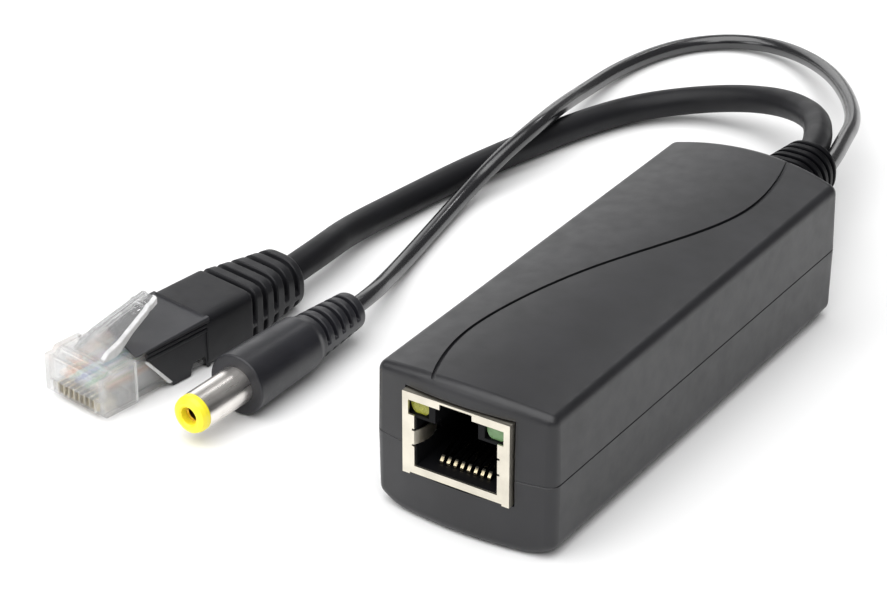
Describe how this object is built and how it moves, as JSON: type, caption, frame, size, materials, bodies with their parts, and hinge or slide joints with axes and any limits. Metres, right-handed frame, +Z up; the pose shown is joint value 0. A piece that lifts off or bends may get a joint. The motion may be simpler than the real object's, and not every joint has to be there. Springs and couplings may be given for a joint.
{
  "type": "poe splitter",
  "caption": "Power over ethernet splitter: small black case with a network socket in front, and two short leads out of the rear to a network plug and a round power plug.",
  "frame": {"origin": "on the resting surface, under the middle of the case", "axes": "+Z up; the network socket looks along -Y; the two leads leave the rear along +Y; +X is on the right of someone who looks at the socket"},
  "size_m": [0.0795, 0.155, 0.0222],
  "materials": {
    "case_plastic": "satin near-black moulded plastic",
    "socket_shield": "warm nickel-plated sheet",
    "socket_plastic": "black moulded insert",
    "contact_gold": "gold-plated spring wire",
    "lamp_amber": "tinted diffusing lens, yellow-green when off",
    "lamp_green": "tinted diffusing lens, green when off",
    "board": "solder mask over glass fibre",
    "chip_plastic": "moulded chip bodies with tinned leads",
    "ferrite": "ground ferrite",
    "bobbin_plastic": "black bobbin with tinned pins",
    "winding_tape": "polyester tape over the winding",
    "capacitor_sleeve": "dark sleeve with a bare aluminium top",
    "choke": "wound ferrite drum",
    "resistor": "small chips with tinned ends",
    "ceramic": "ceramic chips with tinned ends",
    "wire_insulation": "coloured insulated cores",
    "relief_rubber": "soft black moulded relief",
    "data_jacket": "matt black jacket",
    "power_jacket": "slightly glossy black jacket",
    "clear_plastic": "clear polycarbonate",
    "boot_plastic": "soft black moulded boot",
    "grip_plastic": "soft black moulded grip",
    "barrel_nickel": "nickel-plated turned sleeve",
    "tip_yellow": "yellow moulded insulator"
  },
  "bodies": {
    "root": {"top_cover": "case_plastic", "bottom_cover": "case_plastic", "jack_shield": "socket_shield", "jack_housing": "socket_plastic", "jack_contacts": "contact_gold", "amber_lamp": "lamp_amber", "green_lamp": "lamp_green", "circuit_board": "board", "lan_transformer": "chip_plastic", "power_controller": "chip_plastic", "bridge_rectifiers": "chip_plastic", "input_capacitor": "capacitor_sleeve", "output_capacitors": "capacitor_sleeve", "transformer_core": "ferrite", "transformer_bobbin": "bobbin_plastic", "transformer_winding": "winding_tape", "output_choke": "choke", "output_diode": "chip_plastic", "opto_coupler": "chip_plastic", "chip_resistors": "resistor", "chip_capacitors": "ceramic", "data_leads": "wire_insulation", "power_leads": "wire_insulation", "strain_relief": "relief_rubber", "data_cable": "data_jacket", "power_cable": "power_jacket", "plug_body": "clear_plastic", "plug_contacts": "contact_gold", "plug_wires": "wire_insulation", "plug_boot": "boot_plastic", "dc_plug_body": "grip_plastic", "dc_barrel": "barrel_nickel", "dc_insulator": "tip_yellow", "dc_contact": "contact_gold"}
  },
  "joints": []
}
